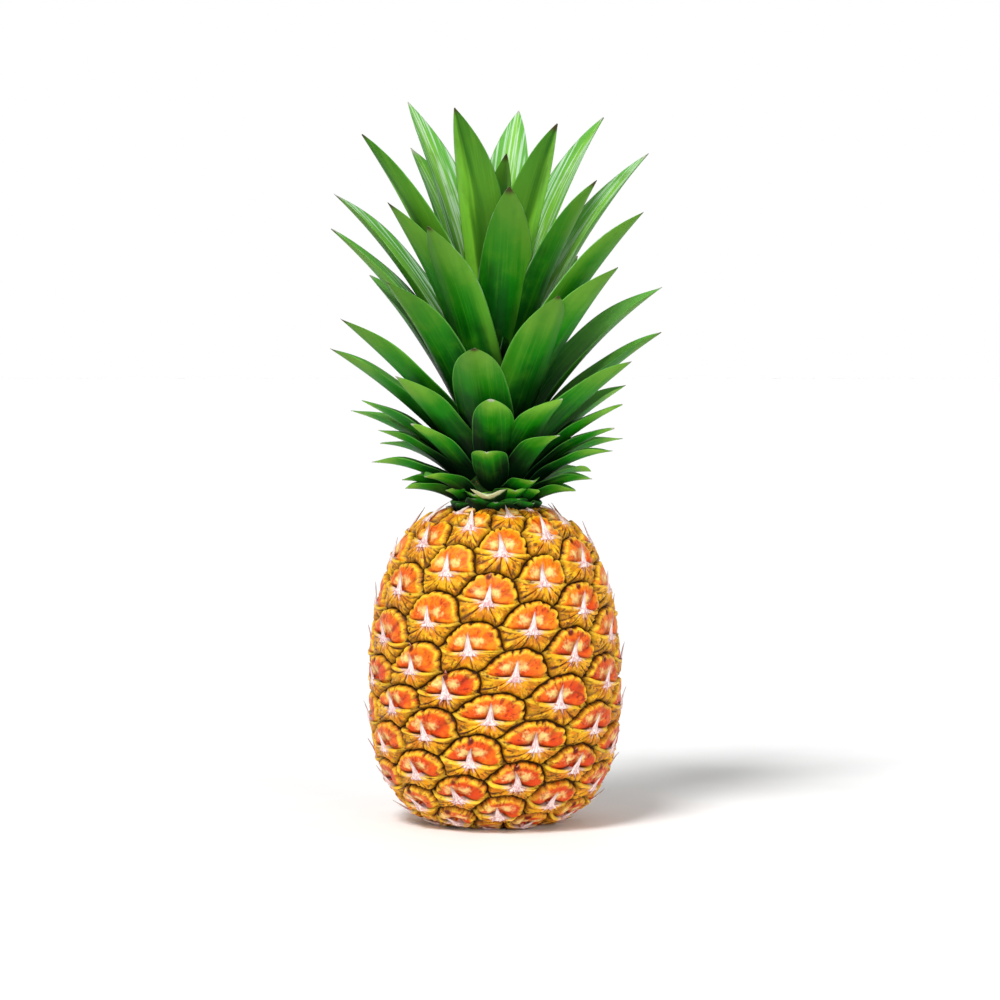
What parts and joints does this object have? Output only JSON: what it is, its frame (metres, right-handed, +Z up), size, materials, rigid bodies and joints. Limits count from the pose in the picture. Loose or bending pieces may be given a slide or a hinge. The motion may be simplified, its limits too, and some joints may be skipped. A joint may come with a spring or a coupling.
{
  "type": "pineapple",
  "caption": "Whole ripe pineapple standing upright: a barrel-shaped fruit with a spiral of bracted eyes, a tall leafy crown and a cut stalk end.",
  "frame": {"origin": "centre of the base, on the surface the fruit stands on", "axes": "+Z up along the fruit and its crown, -Y towards the front"},
  "size_m": [0.1684, 0.1481, 0.3623],
  "materials": {
    "rind": "satin, waxy, orange-yellow eyes with brown grooves",
    "stalk_end": "dry, fibrous, pale tan",
    "leaf": "satin, deep green with paler striped inner faces"
  },
  "bodies": {
    "root": {"fruit": "rind", "stalk": "stalk_end", "crown": "leaf"}
  },
  "joints": []
}
